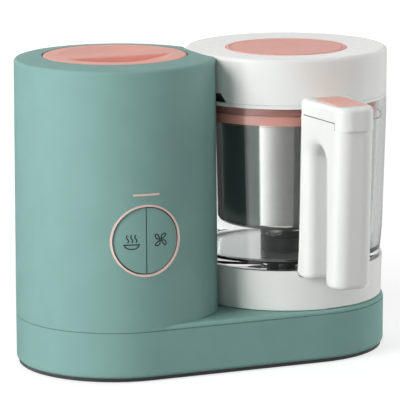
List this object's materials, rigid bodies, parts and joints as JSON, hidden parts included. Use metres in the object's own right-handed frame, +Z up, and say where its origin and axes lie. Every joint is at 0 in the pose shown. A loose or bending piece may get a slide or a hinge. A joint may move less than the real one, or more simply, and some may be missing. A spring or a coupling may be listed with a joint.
{
  "type": "baby food maker",
  "caption": "Countertop baby food maker: a steam column with a round control and screw cap, beside a lidded glass blending bowl with handle, steaming basket and belt-driven blades.",
  "frame": {"origin": "middle of the whole object's footprint, on the surface it stands on", "axes": "+X from the steam column to the bowl, front with the controls and handle towards -Y, +Z up"},
  "size_m": [0.3058, 0.2194, 0.2444],
  "materials": {
    "sage": "satin moulded sage green",
    "button_sage": "satin moulded sage green",
    "coral": "satin coral",
    "coral_silicone": "soft coral silicone",
    "white": "glossy warm white",
    "rose_metal": "polished rose metal",
    "black_plastic": "fine matt black",
    "rubber": "matt black rubber",
    "silicone": "translucent pale silicone",
    "glass": "clear polished",
    "steel": "fine brushed",
    "motor_steel": "zinc plated",
    "bronze": "sintered",
    "alloy": "cast",
    "circuit": "green board"
  },
  "bodies": {
    "base": {"base_shell": "sage", "bottom_plate": "black_plastic", "feet": "rubber", "base_screws": "steel", "cord_gland": "black_plastic", "body_shell": "sage", "control_ring": "rose_metal", "indicator_bar": "rose_metal", "control_board": "circuit", "tact_switches": "black_plastic", "water_tank": "steel", "heater_plate": "alloy", "heater_element": "steel", "thermostats": "steel", "steam_tube": "steel", "steam_outlet": "silicone", "motor_can": "motor_steel", "motor_bushes": "bronze", "motor_mount": "steel", "motor_dampers": "rubber", "drive_belt": "rubber", "spindle_housing": "black_plastic", "spindle_bearings": "steel", "shaft_seal": "rubber", "power_board": "circuit"},
    "motor_rotor": {"motor_shaft": "steel", "motor_armature": "motor_steel", "motor_pulley": "black_plastic"},
    "drive": {"drive_spindle": "steel", "spindle_pulley": "black_plastic", "drive_dog": "black_plastic"},
    "blade": {"blade_shaft": "steel", "blade_hub": "black_plastic", "blades": "steel", "blade_nut": "steel", "blade_dog": "black_plastic"},
    "bowl": {"glass_bowl": "glass", "bowl_base": "white", "bowl_gasket": "silicone", "rim_ring": "white", "bearing_housing": "black_plastic", "bearing_nut": "black_plastic", "blade_bush": "bronze", "handle_body": "white", "handle_cap": "white", "handle_screws": "steel", "release_spring": "steel"},
    "lid": {"lid_shell": "white", "lid_liner": "white", "lid_seal": "coral_silicone", "lid_insert": "coral"},
    "basket": {"basket": "steel", "basket_collar": "coral"},
    "steam_button": {"steam_button": "button_sage"},
    "blend_button": {"blend_button": "button_sage"},
    "cap_carrier": {"cap_seal": "silicone"},
    "cap": {"reservoir_cap": "coral", "cap_plug": "white"},
    "release_button": {"release_button": "coral"},
    "lid_latch": {"lid_latch": "black_plastic"}
  },
  "joints": [
    {"name": "steam_press", "type": "slide", "parent": "base", "child": "steam_button", "axis": [0.0523, 0.9986, 0], "range_m": [0, 0.0013], "stiffness_N_per_m": 900, "springref_m": -0.0006},
    {"name": "blend_press", "type": "slide", "parent": "base", "child": "blend_button", "axis": [0.0523, 0.9986, 0], "range_m": [0, 0.0013], "stiffness_N_per_m": 900, "springref_m": -0.0006},
    {"name": "cap_turn", "type": "hinge", "parent": "cap_carrier", "child": "cap", "pos_m": [-0.0729, 0.0293, 0.24], "axis": [0, 0, 1], "range_deg": [0, 540]},
    {"name": "cap_rise", "type": "slide", "parent": "base", "child": "cap_carrier", "axis": [0, 0, 1], "range_m": [0, 0.0211]},
    {"name": "motor_spin", "type": "hinge", "parent": "base", "child": "motor_rotor", "pos_m": [-0.0729, 0.0293, 0.05], "axis": [0, 0, 1], "continuous": true},
    {"name": "drive_spin", "type": "hinge", "parent": "base", "child": "drive", "pos_m": [0.0725, 0.0293, 0.03], "axis": [0, 0, 1], "continuous": true},
    {"name": "bowl_lift", "type": "slide", "parent": "base", "child": "bowl", "axis": [0, 0, 1], "range_m": [0, 0.21]},
    {"name": "blade_spin", "type": "hinge", "parent": "bowl", "child": "blade", "pos_m": [0.0725, 0.0293, 0.09], "axis": [0, 0, 1], "continuous": true},
    {"name": "lid_lift", "type": "slide", "parent": "bowl", "child": "lid", "axis": [0, 0, 1], "range_m": [0, 0.26]},
    {"name": "basket_lift", "type": "slide", "parent": "bowl", "child": "basket", "axis": [0, 0, 1], "range_m": [0, 0.1301]},
    {"name": "release_press", "type": "slide", "parent": "bowl", "child": "release_button", "axis": [0, 0, -1], "range_m": [0, 0.0022], "stiffness_N_per_m": 700, "springref_m": -0.001, "deforming": ["release_spring"]},
    {"name": "latch_slide", "type": "slide", "parent": "bowl", "child": "lid_latch", "axis": [0, -1, 0], "range_m": [0, 0.002]}
  ],
  "couplings": [
    {"joint": "cap_rise", "follows": "cap_turn", "m_per_rad": 0.0022282},
    {"joint": "drive_spin", "follows": "motor_spin", "ratio": 0.5},
    {"joint": "blade_spin", "follows": "motor_spin", "ratio": 0.5},
    {"joint": "basket_lift", "follows": "lid_lift", "ratio": 0.5},
    {"joint": "latch_slide", "follows": "release_press", "ratio": 0.9}
  ]
}
